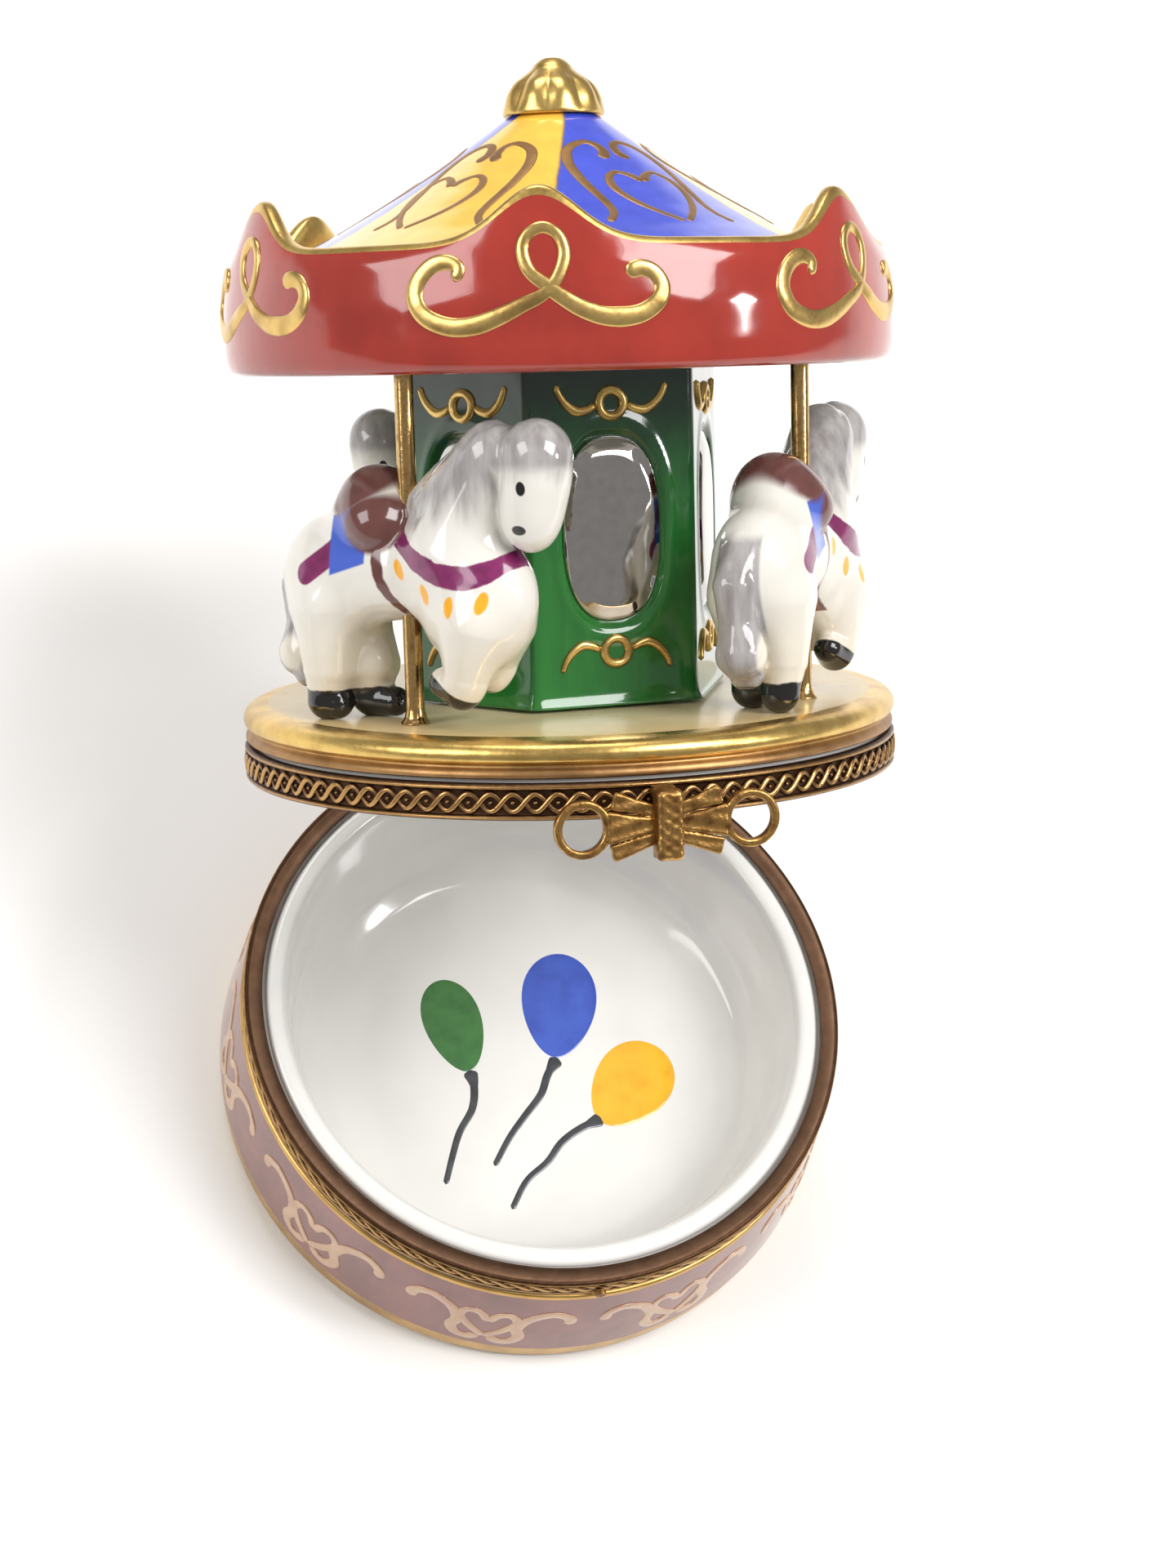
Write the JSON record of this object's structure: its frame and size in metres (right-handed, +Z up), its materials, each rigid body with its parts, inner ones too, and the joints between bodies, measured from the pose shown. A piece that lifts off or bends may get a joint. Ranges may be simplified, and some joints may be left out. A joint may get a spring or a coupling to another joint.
{
  "type": "carousel trinket box",
  "caption": "Round hinged porcelain trinket box whose lid carries a small carousel of horses on poles round a mirrored column under a scalloped tent roof; bow clasp at the front.",
  "frame": {"origin": "centre of the foot's flat underside", "axes": "+Z up, -Y towards the clasp at the front, +Y towards the hinge, +X to the right seen from the front"},
  "size_m": [0.063, 0.0998, 0.0962],
  "materials": {
    "base_glaze": "pink painted glaze outside with pale gold scrolls, white glaze inside",
    "bezel_brass": "antique brass with twisted rope relief, satin",
    "hinge_brass": "aged brass",
    "platform_glaze": "cream glaze with a gilded rim",
    "column_glaze": "green glaze with raised gold ornaments",
    "canopy_glaze": "red glazed valance with raised gold scrolls, yellow and blue roof panels",
    "gilding": "bright gilding",
    "mirror": "polished silver",
    "pole_brass": "polished brass rod",
    "horse_glaze": "white glaze with grey mane and tail, brown saddle, purple straps and black hooves",
    "clasp_brass": "aged cast brass"
  },
  "bodies": {
    "base": {"base_bowl": "base_glaze", "base_bezel": "bezel_brass", "base_hinge_leaf": "hinge_brass", "hinge_pin": "hinge_brass", "catch_stud": "clasp_brass"},
    "lid": {"lid_bezel": "bezel_brass", "lid_hinge_leaf": "hinge_brass", "platform": "platform_glaze", "column": "column_glaze", "canopy": "canopy_glaze", "finial": "gilding", "mirror_1": "mirror", "mirror_2": "mirror", "mirror_3": "mirror", "mirror_4": "mirror", "mirror_5": "mirror", "mirror_6": "mirror", "pole_left": "pole_brass", "horse_left": "horse_glaze", "pole_right": "pole_brass", "horse_right": "horse_glaze", "pole_rear": "pole_brass", "horse_rear": "horse_glaze", "clasp_mount": "clasp_brass"},
    "clasp": {"clasp_strip": "clasp_brass", "clasp_bow": "clasp_brass", "clasp_band": "clasp_brass", "clasp_ring_left": "clasp_brass", "clasp_ring_right": "clasp_brass"}
  },
  "joints": [
    {"name": "lid_hinge", "type": "hinge", "parent": "base", "child": "lid", "pos_m": [0, 0.0329, 0.0178], "axis": [1, 0, 0], "range_deg": [0, 50.6]},
    {"name": "clasp_flex", "type": "hinge", "parent": "lid", "child": "clasp", "pos_m": [0, -0.00552, 0.06867], "axis": [-1, 0, 0], "range_deg": [0, 5], "stiffness_Nm_per_rad": 0.05}
  ]
}
